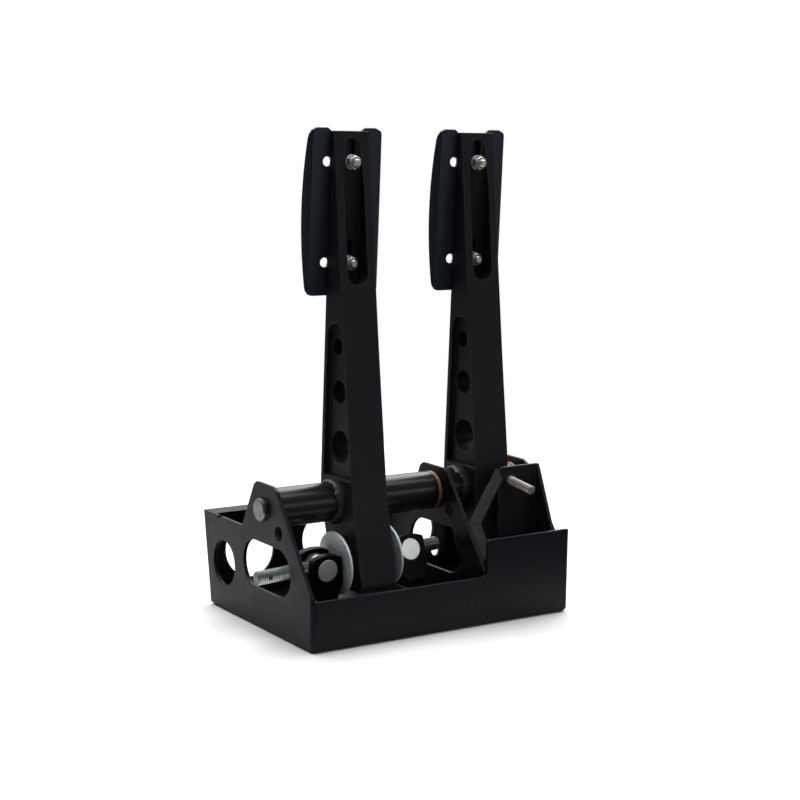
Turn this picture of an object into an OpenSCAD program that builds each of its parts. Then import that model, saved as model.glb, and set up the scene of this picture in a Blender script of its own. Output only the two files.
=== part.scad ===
// Floor-standing twin pedal box: a folded steel tray with three upright plates,
// a brake pedal with a balance bar, and a clutch pedal with an adjustable stop.
// X runs along the pivot shaft, +Y towards the driver (the pad side), +Z up.
// The origin is the centre of the tray's underside. Sizes in millimetres.

/* [Tray] */
// Outside width of the tray, along the pivot shaft
tray_w = 240; // [236:1:246]
// Depth of the tray floor, front to back
tray_d = 165; // [163:1:168]
// Thickness of the sheet
sheet = 3; // [2.5:0.1:3.2]
// Height of the low front wall ahead of the balance bar
front_low_h = 39; // [34:1:41]
// Height of the raised front wall ahead of the clutch
front_high_h = 68.5; // [60:0.5:72]
// Radius of the master cylinder holes in the rear wall
cylinder_hole_r = 22.5; // [18:0.5:23]
// Bolt circle of the two studs of each master cylinder
cylinder_bolt_pcd = 64; // [60:1:68]

/* [Pivot] */
// Radius of the pivot shaft
shaft_r = 9; // [8:0.5:10]
// Length of shaft that stands out past each side plate
shaft_proud = 4; // [2:0.5:6]
// Outside radius of the pedal tubes
tube_r = 15.5; // [14.5:0.5:16]
// Inside radius of the pedal tubes, where the bushes press in
tube_bore_r = 12; // [11.5:0.5:12.5]
// Thickness of the bush flanges
bush_flange = 3; // [2:0.5:4]

/* [Pedals] */
// Width of each pedal arm
arm_w = 32; // [28:1:33]
// Height of the pedal arms above the ground
arm_top = 383.5; // [382:0.5:386]
// Depth of the lightening pocket in each side of an arm
pocket_depth = 4; // [3:0.5:8]
// Width of the flat part of each pad
pad_w = 63.5; // [60:0.5:66]
// Height of each pad
pad_h = 130; // [126:1:132]
// Width of the pad's folded side wings at mid height
wing_w = 7; // [6.5:0.5:9]
// Fold of the wings towards the driver, in degrees
wing_fold = 55; // [35:1:70]

/* [Balance bar] */
// Radius of the threaded balance bar
bar_r = 5.5; // [5:0.1:5.7]
// Slope of the bar as it rests in its ball, in degrees
bar_slope = 3; // [0:0.1:3.5]
// Radius of the nylon spacer discs
disc_r = 25; // [22:0.5:26]
// Width of the clevis yokes along the bar
clevis_w = 26.6; // [25:0.2:27]
// Distance of each clevis from the middle of the brake arm
clevis_x = 38.5; // [38:0.5:42]

/* [Hidden] */
$fn = 64;

coat = [0.07, 0.07, 0.075];
steel = [0.72, 0.71, 0.69];
zinc = [0.66, 0.68, 0.66];
bronze = [0.62, 0.43, 0.28];
nylon = [0.80, 0.85, 0.84];

// Everything below is drawn from the front left bottom corner of the tray
mid_x = 157;                       // left face of the middle plate
right_x = tray_w - sheet;          // inside face of the right plate
pivot = [77, 95.3];                // shaft axis in Y, Z
bar = [62, 50.5];                   // middle of the balance bar in Y, Z
brake_x = 80;                      // middle of the brake arm
clutch_x = 198.7;                  // middle of the clutch arm
wall_top = 76;                     // top of the side plates behind the pivot
wall_run = 12.5;                   // how far the rear wall leans back
wall_lean = atan(wall_run / (wall_top - sheet));
cylinders = [38, 110.5, 198.5];      // master cylinder axes along X
cylinder_z = 39.6;
side_gap = 0.3;                    // end float of each pedal
sleeve_r = 18;
sleeve_bore_r = 13.5;
sleeve_l = 40;
disc_in = 22.2;                    // inner face of a disc from the bar's middle
disc_t = 2;
barrel_r = 8.75;
back_lean = 2.35;                  // lean of the arms' rear face
back_at = [90.18, 320];            // a point on that face, Y and Z
web_t = 5.5;                       // rear web left behind the front slot
pad_bolt_z = [-38, 40];            // bolts along the pad, from back_at
pad_up = 1;                        // middle of the pad above back_at
pad_gap = 0.04;                    // the pad slides on the arm with this much room
stop_at = [209.5, 40, 104.3];      // where the stop screw passes its bracket
stop_tip = 28;                     // length of screw ahead of the bracket
stop_r = 3.5;                      // radius of the screw
yoke_turn = [3, -14];              // how far each yoke hangs turned about the bar, in degrees
stop_slope = 7;                    // downward slope of the screw, in degrees

module in_tray() { translate([-tray_w / 2, -tray_d / 2, 0]) children(); }
// Extrude an outline drawn in Y and Z along X
module along_x(x0, w) { translate([x0, 0, 0]) rotate([90, 0, 90]) linear_extrude(w) children(); }
// A round bar along X through a point in Y and Z
module rod_x(x0, x1, r, at) { translate([x0, at[0], at[1]]) rotate([0, 90, 0]) cylinder(h = x1 - x0, r = r); }
// A round bar along X with chamfered ends
module shaft_x(x0, x1, r, c, at) {
    translate([x0, at[0], at[1]]) rotate([0, 90, 0]) {
        cylinder(h = c, r1 = r - c, r2 = r);
        translate([0, 0, c]) cylinder(h = x1 - x0 - 2 * c, r = r);
        translate([0, 0, x1 - x0 - c]) cylinder(h = c, r1 = r, r2 = r - c);
    }
}
module slot_2d(a, b, r) {
    translate(a) circle(r);
    translate(b) circle(r);
    translate([min(a[0], b[0]) - (a[0] == b[0] ? r : 0), min(a[1], b[1]) - (a[1] == b[1] ? r : 0)])
        square([a[0] == b[0] ? 2 * r : abs(b[0] - a[0]), a[1] == b[1] ? 2 * r : abs(b[1] - a[1])]);
}
module round_rect(x0, y0, x1, y1, r) {
    translate([x0 + r, y0]) square([x1 - x0 - 2 * r, y1 - y0]);
    translate([x0, y0 + r]) square([x1 - x0, y1 - y0 - 2 * r]);
    for (x = [x0 + r, x1 - r], y = [y0 + r, y1 - r]) translate([x, y]) circle(r);
}

// ---------- tray ----------
module tray_floor() {
    r = 2;
    color(coat) in_tray() difference() {
        cube([tray_w, tray_d, sheet]);
        // rounded lower edges of the folds
        for (y = [0, tray_d]) difference() {
            translate([-1, y == 0 ? -1 : y - r, -1]) cube([tray_w + 2, r + 1, r + 1]);
            translate([-2, y == 0 ? r : y - r, r]) rotate([0, 90, 0]) cylinder(h = tray_w + 4, r = r);
        }
        for (x = [0, tray_w]) difference() {
            translate([x == 0 ? -1 : x - r, -1, -1]) cube([r + 1, tray_d + 2, r + 1]);
            translate([x == 0 ? r : x - r, -2, r]) rotate([-90, 0, 0]) cylinder(h = tray_d + 4, r = r);
        }
        // rounded front corners
        for (x = [0, tray_w]) difference() {
            translate([x == 0 ? -1 : x - r, -1, -1]) cube([r + 1, r + 1, sheet + 2]);
            translate([x == 0 ? r : x - r, r, -2]) cylinder(h = sheet + 4, r = r);
        }
        // floor bolts
        for (x = [-100, 100], y = [-60, 60])
            translate([tray_w / 2 + x, tray_d / 2 + y, -1]) cylinder(h = sheet + 2, r = 4.25);
    }
}
module front_wall() {
    step_x = mid_x + 1.5;
    r = 2;
    color(coat) in_tray() difference() {
        translate([0, sheet, 0]) rotate([90, 0, 0]) linear_extrude(sheet) difference() {
            union() {
                translate([0, sheet]) square([tray_w, front_low_h - sheet]);
                translate([step_x, sheet]) square([tray_w - step_x, front_high_h - 3 - sheet]);
                translate([step_x + 3, sheet]) square([tray_w - step_x - 6, front_high_h - sheet]);
                for (x = [step_x + 3, tray_w - 3]) translate([x, front_high_h - 3]) circle(3);
                // fillet in the inside corner of the step
                difference() {
                    translate([step_x - 4, front_low_h]) square([4, 4]);
                    translate([step_x - 4, front_low_h + 4]) circle(4);
                }
            }
        }
        // small blind hole
        translate([200.6, -1, 47.3]) rotate([-90, 0, 0]) cylinder(h = 3, r = 1.3);
        // rounded outer corners
        for (x = [0, tray_w]) difference() {
            translate([x == 0 ? -1 : x - r, -1, 0]) cube([r + 1, r + 1, 90]);
            translate([x == 0 ? r : x - r, r, -1]) cylinder(h = 92, r = r);
        }
    }
}
module rear_wall() {
    color(coat) in_tray() difference() {
        along_x(sheet, tray_w - 2 * sheet) polygon([[tray_d - sheet, sheet], [tray_d, sheet],
            [tray_d + wall_run, wall_top], [tray_d - 5, wall_top], [tray_d - 5, wall_top - sheet],
            [tray_d - sheet + wall_run * (wall_top - 2 * sheet) / (wall_top - sheet), wall_top - sheet]]);
        for (x = cylinders)
            translate([x, tray_d + wall_run * (cylinder_z - sheet) / (wall_top - sheet), cylinder_z])
                rotate([-90 - wall_lean, 0, 0]) {
                    translate([0, 0, -12]) cylinder(h = 24, r = cylinder_hole_r);
                    for (s = [-1, 1]) rotate([0, 0, 45]) translate([s * cylinder_bolt_pcd / 2, 0, -12])
                        cylinder(h = 24, r = 4.25);
                }
    }
}

// ---------- upright plates ----------
// Upper part of the plates, shared by all three, from the rear top to the front slope
function crown(wide = 0) = [[111, wall_top], [92 + wide, 112.5], [88 + wide, 115.5], [62.5, 115.5], [56, 112.5]];
module plate_holes() {
    translate(pivot) circle(shaft_r);
    slot_2d([51.75, 50.2], [89.75, 50.2], 18.6);
    translate([52, 81.2]) circle(5.4);
}
module outer_plate(nose) {
    difference() {
        polygon(concat([[sheet, sheet], [tray_d, sheet], [tray_d + wall_run, wall_top]], crown(),
            nose ? [[2, 42], [0, front_low_h], [sheet, front_low_h]] : [[sheet, 43.3]]));
        plate_holes();
        translate([141.5, 39]) circle(18.2);
        // relief where the rear flange ends
        if (nose) translate([150, wall_top]) circle(2.5);
    }
}
module left_side_plate() { color(coat) in_tray() along_x(0, sheet) outer_plate(true); }
module right_side_plate() { color(coat) in_tray() along_x(right_x, sheet) outer_plate(false); }
module middle_plate() {
    color(coat) in_tray() along_x(mid_x, sheet) difference() {
        polygon(concat([[sheet, sheet], [tray_d - sheet, sheet],
            [tray_d - sheet + wall_run * (wall_top - 2 * sheet) / (wall_top - sheet), wall_top - sheet],
            [tray_d - 5, wall_top - sheet], [tray_d - 5, wall_top]], crown(4), [[sheet, 43.3]]));
        plate_holes();
    }
}

// ---------- clutch stop ----------
module stop_axis() { translate(stop_at) rotate([90 + stop_slope, 0, 0]) children(); }
module stop_bracket() {
    x0 = 197; y0 = 40; top = 116; r = 4;
    color(coat) in_tray() difference() {
        union() {
            // face plate that carries the screw
            translate([0, y0 + sheet, 0]) rotate([90, 0, 0]) linear_extrude(sheet) {
                translate([x0, 45]) square([right_x - x0, top - r - 45]);
                translate([x0 + r, 45]) square([right_x - x0 - r, top - 45]);
                translate([x0 + r, top - r]) circle(r);
            }
            // cheek folded forward along the right plate
            along_x(right_x - sheet, sheet) polygon([[y0 + sheet, top], [39, top], [36, 110], [16.5, 64],
                [9, 45], [y0 + sheet, 45]]);
        }
        stop_axis() translate([0, 0, -12]) cylinder(h = 24, r = stop_r + 0.8);
    }
}
// Flat bent strap that ties the bracket to the middle plate
brace_k = [mid_x + sheet, 28.6, 76.8];
brace_w = [197, 43, 117];
brace_l = [mid_x + sheet, 8, 50];
function unit(v) = v / norm(v);
brace_u = unit(brace_w - brace_k);
brace_v = unit(brace_l - brace_k);
brace_n = unit(cross(brace_u, brace_v));
brace_e = cross(brace_n, brace_u);
brace_c = brace_u * brace_v;
brace_s = brace_e * brace_v;
module stop_brace() {
    w = 9;
    len = norm(brace_w - brace_k) + 6;
    low = 34;
    inner = w / tan(acos(brace_c) / 2);
    color(coat) in_tray() intersection() {
        multmatrix([[brace_u[0], brace_e[0], brace_n[0], brace_k[0]],
                    [brace_u[1], brace_e[1], brace_n[1], brace_k[1]],
                    [brace_u[2], brace_e[2], brace_n[2], brace_k[2]]])
            linear_extrude(sheet) polygon([[len, 0], [len, w], [inner, w],
                [brace_c * low + brace_s * w, brace_s * low - brace_c * w],
                [brace_c * low - brace_s * 4, brace_s * low + brace_c * 4],
                [-brace_s * 4, brace_c * 4], [0, 0]]);
        // rounded top corner beside the bracket
        translate([0, 80, 0]) rotate([90, 0, 0]) linear_extrude(80) {
            translate([mid_x + sheet, 40]) square([28, 77]);
            translate([mid_x + sheet, 40]) square([197 - mid_x - sheet, 62]);
            intersection() {
                translate([202, 101]) circle(15);
                translate([187, 101]) square([10, 16]);
            }
        }
    }
}
module stop_nut() {
    color(zinc) in_tray() intersection() {
        stop_axis() translate([0, 0, -14]) difference() {
            cylinder(h = 20, r = 6.35, $fn = 6);
            translate([0, 0, -1]) cylinder(h = 22, r = stop_r + 0.08);
        }
        translate([190, 40 + sheet, 90]) cube([40, 3.2, 30]);
    }
}
module clutch_stop_screw() {
    color(steel) in_tray() stop_axis() {
        translate([0, 0, -7]) cylinder(h = stop_tip + 6.4, r = stop_r);
        translate([0, 0, stop_tip - 0.6]) cylinder(h = 0.6, r1 = stop_r, r2 = stop_r - 0.6);
        translate([0, 0, -7.6]) cylinder(h = 0.6, r1 = stop_r - 0.6, r2 = stop_r);
    }
}

// ---------- pivot ----------
module pivot_shaft() { color(steel) in_tray() shaft_x(-shaft_proud, tray_w + shaft_proud, shaft_r, 1, pivot); }
module pedal_tube(x0, x1) {
    difference() {
        rod_x(x0 + side_gap + bush_flange, x1 - side_gap - bush_flange, tube_r, pivot);
        rod_x(x0, x1, tube_bore_r, pivot);
    }
}
// A flanged bush; the flange is on the side given by dir
module bush(x, dir) {
    a = x; b = x + dir * bush_flange; c = x + dir * (bush_flange + 17);
    difference() {
        union() {
            rod_x(min(a, b), max(a, b), tube_r, pivot);
            rod_x(min(a, c), max(a, c), tube_bore_r, pivot);
        }
        rod_x(min(a, c) - 1, max(a, c) + 1, shaft_r + 0.06, pivot);
    }
}
module brake_pivot_tube() { color(coat) in_tray() pedal_tube(sheet, mid_x); }
module clutch_pivot_tube() { color(coat) in_tray() pedal_tube(mid_x + sheet, right_x); }
module brake_left_bush() { color(bronze) in_tray() bush(sheet + side_gap, 1); }
module brake_right_bush() { color(bronze) in_tray() bush(mid_x - side_gap, -1); }
module clutch_left_bush() { color(bronze) in_tray() bush(mid_x + sheet + side_gap, 1); }
module clutch_right_bush() { color(bronze) in_tray() bush(right_x - side_gap, -1); }

// ---------- pedal arms ----------
// Front and rear edges of an arm, seen from the side
function front_y(z) = 53.95 + 0.12874 * (z - 134) - 0.0000597 * (z - 134) * (z - 134);
function back_y(z) = back_at[0] - (z - back_at[1]) * tan(back_lean);
arm_zs = [for (i = [0 : 12]) 118 + (arm_top - 118) * i / 12];
pocket_zs = [for (i = [0 : 5]) 225 - (225 - 114) * i / 5];
pocket_in = [2.2, 4.6];               // rim left at the front and at the back
pad_side = 1.25;                      // shift of each pad to the left of its bolts

module on_back() { translate([0, back_at[0], back_at[1]]) rotate([back_lean, 0, 0]) children(); }
module arm(x, lower) {
    difference() {
        along_x(x - arm_w / 2, arm_w)
            polygon(concat([for (z = arm_zs) [front_y(z), z]],
                [[back_y(arm_top), arm_top], [back_y(112), 112]], lower));
        // side pockets
        for (s = [-1, 1]) along_x(s < 0 ? x - arm_w / 2 - 1 : x + arm_w / 2 - pocket_depth, pocket_depth + 1) {
            polygon(concat([for (z = pocket_zs) [back_y(z) - pocket_in[1], z]],
                [for (i = [5 : -1 : 0]) [front_y(pocket_zs[i]) + pocket_in[0], pocket_zs[i]]]));
            translate([(front_y(225) + pocket_in[0] + back_y(225) - pocket_in[1]) / 2, 225])
                circle((back_y(225) - front_y(225) - pocket_in[0] - pocket_in[1]) / 2);
        }
        // lightening holes
        for (h = [[81, 217, 6.75], [78.4, 181.5, 9.5], [75.6, 138, 13]])
            rod_x(x - arm_w, x + arm_w, h[2], [h[0], h[1]]);
        // tapered slot from the front that leaves a rear web
        on_back() translate([x, -web_t, 0]) rotate([90, 0, 0]) linear_extrude(60) {
            translate([0, -45]) circle(9);
            translate([0, 53.5]) circle(6.5);
            polygon([[-9, -45], [9, -45], [9, 20], [6.5, 53.5], [-6.5, 53.5], [-9, 20]]);
        }
        // adjusting slots for the pad bolts
        on_back() for (z = pad_bolt_z) translate([x, 1, 0]) rotate([90, 0, 0])
            linear_extrude(web_t + 2) slot_2d([0, z], [0, z + 14], 3.4);
        // seat of the pivot tube
        rod_x(x - arm_w, x + arm_w, tube_r, pivot);
    }
}
module brake_arm() {
    color(coat) in_tray() difference() {
        arm(brake_x, [[98.2, 92], [86, 56], [85, 38], [82, 31], [77, 28.5],
            [40, 28.5], [35.4, 30.5], [34.6, 36], [49, 98], [51.85, 117.9]]);
        rod_x(brake_x - arm_w, brake_x + arm_w, sleeve_r, bar);
    }
}
module clutch_arm() {
    color(coat) in_tray() difference() {
        arm(clutch_x, [[98.2, 92], [84, 62], [77, 40], [73, 35.5], [68, 34],
            [57, 34], [52.5, 36], [50.5, 41], [51.4, 96], [51.6, 112], [51.85, 117.9]]);
        rod_x(clutch_x - arm_w, clutch_x + arm_w, 4.05, [63, 48]);
    }
}

// ---------- pads ----------
module pad(x) {
    // the wing's edge is an arc that drops 5 from mid height to the corners
    wing_r = (pad_h * pad_h / 4 + 25) / 10;
    on_back() translate([x, pad_gap, 0]) difference() {
        translate([-pad_side, 0, 0]) union() {
            translate([0, sheet, pad_up]) rotate([90, 0, 0]) linear_extrude(sheet)
                round_rect(-pad_w / 2, -pad_h / 2, pad_w / 2, pad_h / 2, 4);
            for (m = [0, 1]) mirror([m, 0, 0]) translate([pad_w / 2, 0, pad_up]) rotate([0, 0, wing_fold])
                translate([0, sheet, 0]) rotate([90, 0, 0]) linear_extrude(sheet) intersection() {
                    translate([wing_w - wing_r, 0]) circle(wing_r);
                    polygon([[0, -pad_h / 2 + 1.5], [wing_w + 1, -pad_h / 2 + 5], [wing_w + 1, pad_h / 2 - 6.5], [0, pad_h / 2 - 2.5]]);
                }
        }
        // shallow dip in the top edge, behind the arm
        translate([0, sheet + 1, pad_up]) rotate([90, 0, 0]) linear_extrude(sheet + 2)
            polygon([[-17.5, pad_h / 2 + 1], [17.5, pad_h / 2 + 1], [11, pad_h / 2 - 4.5], [-11, pad_h / 2 - 4.5]]);
        for (z = pad_bolt_z) translate([0, -1, z]) rotate([-90, 0, 0]) {
            cylinder(h = sheet + 2, r = 3.2);
            for (s = [-18, 18]) translate([s, 0, 0]) cylinder(h = sheet + 2, r = 3.75);
        }
    }
}
module pad_bolts(x) {
    on_back() for (z = pad_bolt_z) translate([x, pad_gap, z]) rotate([-90, 0, 0]) difference() {
        union() {
            translate([0, 0, -15.5]) cylinder(h = 0.8, r1 = 2.2, r2 = 3);
            translate([0, 0, -14.7]) cylinder(h = sheet + 15.2, r = 3);
            translate([0, 0, sheet]) cylinder(h = 1.3, r = 5.25);
            translate([0, 0, sheet + 1.3]) cylinder(h = 2, r1 = 5.25, r2 = 3.2);
        }
        translate([0, 0, sheet + 1]) cylinder(h = 3, r = 2.3, $fn = 6);
    }
}
module pad_washers(x) {
    on_back() for (z = pad_bolt_z) translate([x, -web_t - 1.25, z]) rotate([-90, 0, 0]) difference() {
        cylinder(h = 1.2, r = 6);
        translate([0, 0, -1]) cylinder(h = 4, r = 3.2);
    }
}
module pad_nuts(x) {
    on_back() for (z = pad_bolt_z) translate([x, -web_t - 1.25, z]) rotate([90, 0, 0]) difference() {
        union() {
            cylinder(h = 4.6, r = 5.77, $fn = 6);
            translate([0, 0, 4.6]) cylinder(h = 1.6, r1 = 4.9, r2 = 4.2);
        }
        translate([0, 0, -1]) cylinder(h = 9, r = 3);
    }
}
module brake_pad() { color(coat) in_tray() pad(brake_x); }
module brake_pad_bolts() { color(steel) in_tray() pad_bolts(brake_x); }
module brake_pad_washers() { color(steel) in_tray() pad_washers(brake_x); }
module brake_pad_nuts() { color(steel) in_tray() pad_nuts(brake_x); }
module clutch_pad() { color(coat) in_tray() pad(clutch_x); }
module clutch_pad_bolts() { color(steel) in_tray() pad_bolts(clutch_x); }
module clutch_pad_washers() { color(steel) in_tray() pad_washers(clutch_x); }
module clutch_pad_nuts() { color(steel) in_tray() pad_nuts(clutch_x); }

// ---------- balance bar ----------
// Frame of the bar: its middle at the ball, X along the bar
module on_bar() { translate([brake_x, bar[0], bar[1]]) rotate([0, -bar_slope, 0]) children(); }
module bearing_sleeve() {
    color(coat) in_tray() difference() {
        rod_x(brake_x - sleeve_l / 2, brake_x + sleeve_l / 2, sleeve_r, bar);
        rod_x(brake_x - sleeve_l, brake_x + sleeve_l, sleeve_bore_r, bar);
    }
}
module bearing_ball() {
    color(steel) in_tray() on_bar() difference() {
        intersection() {
            sphere(sleeve_bore_r - 0.08);
            translate([-9, -20, -20]) cube([18, 40, 40]);
        }
        rod_x(-20, 20, bar_r + 0.05, [0, 0]);
    }
}
module spacer_disc(x0) {
    on_bar() difference() {
        rod_x(x0, x0 + disc_t, disc_r, [0, 0]);
        rod_x(x0 - 1, x0 + disc_t + 1, bar_r + 0.4, [0, 0]);
    }
}
module left_spacer_disc() { color(nylon) in_tray() spacer_disc(-disc_in - disc_t); }
module right_spacer_disc() { color(nylon) in_tray() spacer_disc(disc_in); }
module balance_bar() {
    color(zinc) in_tray() on_bar() difference() {
        shaft_x(-94, 72, bar_r, 1, [0, 0]);
        // cross hole for the remote adjuster
        translate([-84, 0, 0]) rotate([90, 0, 0]) translate([0, 0, -10]) cylinder(h = 20, r = 1.9);
    }
}
module barrel(x, turn) {
    on_bar() translate([x, 0, 0]) rotate([turn, 0, 0]) difference() {
        rotate([90, 0, 0]) {
            translate([0, 0, -13.6]) cylinder(h = 27.2, r = barrel_r);
            translate([0, 0, 13.6]) cylinder(h = 0.4, r1 = barrel_r, r2 = barrel_r - 0.4);
            translate([0, 0, -14]) cylinder(h = 0.4, r1 = barrel_r - 0.4, r2 = barrel_r);
        }
        rod_x(-20, 20, bar_r + 0.08, [0, 0]);
    }
}
// Yoke with arched ears, a slot for the bar, a cross bore for the barrel and a push rod thread
module clevis(x, turn) {
    h = clevis_w / 2; top = 12.3; drop = 3.4; half = 14;
    r = (h * h + drop * drop) / (2 * drop);
    on_bar() translate([x, 0, 0]) rotate([turn, 0, 0]) difference() {
        translate([0, half, 0]) rotate([90, 0, 0]) linear_extrude(2 * half) intersection() {
            polygon([[-h, top + 1], [-h, -13], [-8.5, -24.5], [8.5, -24.5], [h, -13], [h, top + 1]]);
            translate([0, top - r]) circle(r);
        }
        translate([-20, -7, -9]) cube([40, 14, 40]);
        rotate([90, 0, 0]) translate([0, 0, -20]) cylinder(h = 40, r = barrel_r + 0.07);
        translate([0, 0, -30]) cylinder(h = 25, r = 4);
    }
}
module left_barrel() { color(steel) in_tray() barrel(-clevis_x, yoke_turn[0]); }
module right_barrel() { color(steel) in_tray() barrel(clevis_x, yoke_turn[1]); }
module left_clevis() { color(coat) in_tray() clevis(-clevis_x, yoke_turn[0]); }
module right_clevis() { color(coat) in_tray() clevis(clevis_x, yoke_turn[1]); }

tray_floor();
front_wall();
rear_wall();
left_side_plate();
middle_plate();
right_side_plate();
stop_bracket();
stop_brace();
stop_nut();
pivot_shaft();
clutch_stop_screw();
brake_arm();
brake_pivot_tube();
brake_left_bush();
brake_right_bush();
bearing_sleeve();
brake_pad();
brake_pad_bolts();
brake_pad_washers();
brake_pad_nuts();
bearing_ball();
left_spacer_disc();
right_spacer_disc();
balance_bar();
left_barrel();
left_clevis();
right_barrel();
right_clevis();
clutch_arm();
clutch_pivot_tube();
clutch_left_bush();
clutch_right_bush();
clutch_pad();
clutch_pad_bolts();
clutch_pad_washers();
clutch_pad_nuts();
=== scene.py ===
import math

import bmesh
import bpy
from mathutils import Matrix, Vector
from mathutils.geometry import delaunay_2d_cdt


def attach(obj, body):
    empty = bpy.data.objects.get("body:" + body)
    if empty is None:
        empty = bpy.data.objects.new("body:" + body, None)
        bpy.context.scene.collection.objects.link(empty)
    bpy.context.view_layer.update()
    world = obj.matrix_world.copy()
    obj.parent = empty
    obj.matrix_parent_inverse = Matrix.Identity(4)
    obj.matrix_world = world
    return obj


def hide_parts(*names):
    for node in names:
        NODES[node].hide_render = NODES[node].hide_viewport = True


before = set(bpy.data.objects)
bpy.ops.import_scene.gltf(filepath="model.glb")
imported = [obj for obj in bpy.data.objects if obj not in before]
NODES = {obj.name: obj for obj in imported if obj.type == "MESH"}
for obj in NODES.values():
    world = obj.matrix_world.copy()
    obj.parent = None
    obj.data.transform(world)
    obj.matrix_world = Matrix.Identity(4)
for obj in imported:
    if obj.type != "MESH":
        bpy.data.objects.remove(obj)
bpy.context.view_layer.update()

MM = 0.001


def T(x, y, z):
    """A point measured from the tray's front left corner in mm, as a point of the frame in metres."""
    return Vector(((x - 120.0) * MM, (y - 82.5) * MM, z * MM))


# ---------------------------------------------------------------- materials
def mat_new(name):
    m = bpy.data.materials.new(name)
    m.use_nodes = True
    nt = m.node_tree
    nt.nodes.clear()
    out = nt.nodes.new("ShaderNodeOutputMaterial")
    b = nt.nodes.new("ShaderNodeBsdfPrincipled")
    nt.links.new(b.outputs["BSDF"], out.inputs["Surface"])
    return m, nt, b


def put(nt, socket, value):
    if hasattr(value, "is_linked"):
        nt.links.new(value, socket)
    else:
        socket.default_value = value


def obj_coords(nt):
    return nt.nodes.new("ShaderNodeTexCoord").outputs["Object"]


def stretch(nt, vec, scale, turn=(0, 0, 0)):
    n = nt.nodes.new("ShaderNodeMapping")
    nt.links.new(vec, n.inputs["Vector"])
    n.inputs["Scale"].default_value = scale
    n.inputs["Rotation"].default_value = turn
    return n.outputs["Vector"]


def noise(nt, vec, scale, detail=3.0, rough=0.5, twist=0.0):
    n = nt.nodes.new("ShaderNodeTexNoise")
    nt.links.new(vec, n.inputs["Vector"])
    n.inputs["Scale"].default_value = scale
    n.inputs["Detail"].default_value = detail
    n.inputs["Roughness"].default_value = rough
    n.inputs["Distortion"].default_value = twist
    return n.outputs[0]


def cells(nt, vec, scale, feature="F1"):
    n = nt.nodes.new("ShaderNodeTexVoronoi")
    n.feature = feature
    nt.links.new(vec, n.inputs["Vector"])
    n.inputs["Scale"].default_value = scale
    return n.outputs["Distance"]


def span(nt, fac, a, b, c=0.0, d=1.0):
    n = nt.nodes.new("ShaderNodeMapRange")
    n.clamp = True
    nt.links.new(fac, n.inputs["Value"])
    n.inputs["From Min"].default_value = a
    n.inputs["From Max"].default_value = b
    n.inputs["To Min"].default_value = c
    n.inputs["To Max"].default_value = d
    return n.outputs["Result"]


def calc(nt, op, a, b=None):
    n = nt.nodes.new("ShaderNodeMath")
    n.operation = op
    put(nt, n.inputs[0], a)
    if b is not None:
        put(nt, n.inputs[1], b)
    return n.outputs[0]


def vcalc(nt, op, a, b=None, out="Vector"):
    n = nt.nodes.new("ShaderNodeVectorMath")
    n.operation = op
    put(nt, n.inputs[0], a)
    if b is not None:
        put(nt, n.inputs[1], b)
    return n.outputs[out]


def blend_rgb(nt, fac, a, b):
    n = nt.nodes.new("ShaderNodeMix")
    n.data_type = "RGBA"
    put(nt, n.inputs[0], fac)
    put(nt, n.inputs[6], a if hasattr(a, "is_linked") else (*a, 1.0))
    put(nt, n.inputs[7], b if hasattr(b, "is_linked") else (*b, 1.0))
    return n.outputs[2]


def bump(nt, height, strength, distance, normal=None):
    n = nt.nodes.new("ShaderNodeBump")
    n.inputs["Strength"].default_value = strength
    n.inputs["Distance"].default_value = distance
    nt.links.new(height, n.inputs["Height"])
    if normal is not None:
        nt.links.new(normal, n.inputs["Normal"])
    return n.outputs["Normal"]


def edge_mask(nt, radius, lo=0.015, hi=0.10):
    """1 along sharp edges, 0 on flat ground."""
    bev = nt.nodes.new("ShaderNodeBevel")
    bev.samples = 6
    bev.inputs["Radius"].default_value = radius
    geo = nt.nodes.new("ShaderNodeNewGeometry")
    dot = vcalc(nt, "DOT_PRODUCT", bev.outputs["Normal"], geo.outputs["Normal"], "Value")
    return span(nt, calc(nt, "SUBTRACT", 1.0, dot), lo, hi)


def from_axis(nt, vec, centre, axis):
    """Distance from an axis, in metres."""
    d = vcalc(nt, "SUBTRACT", vec, tuple(centre))
    return vcalc(nt, "LENGTH", vcalc(nt, "CROSS_PRODUCT", d, tuple(axis)), None, "Value")


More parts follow.
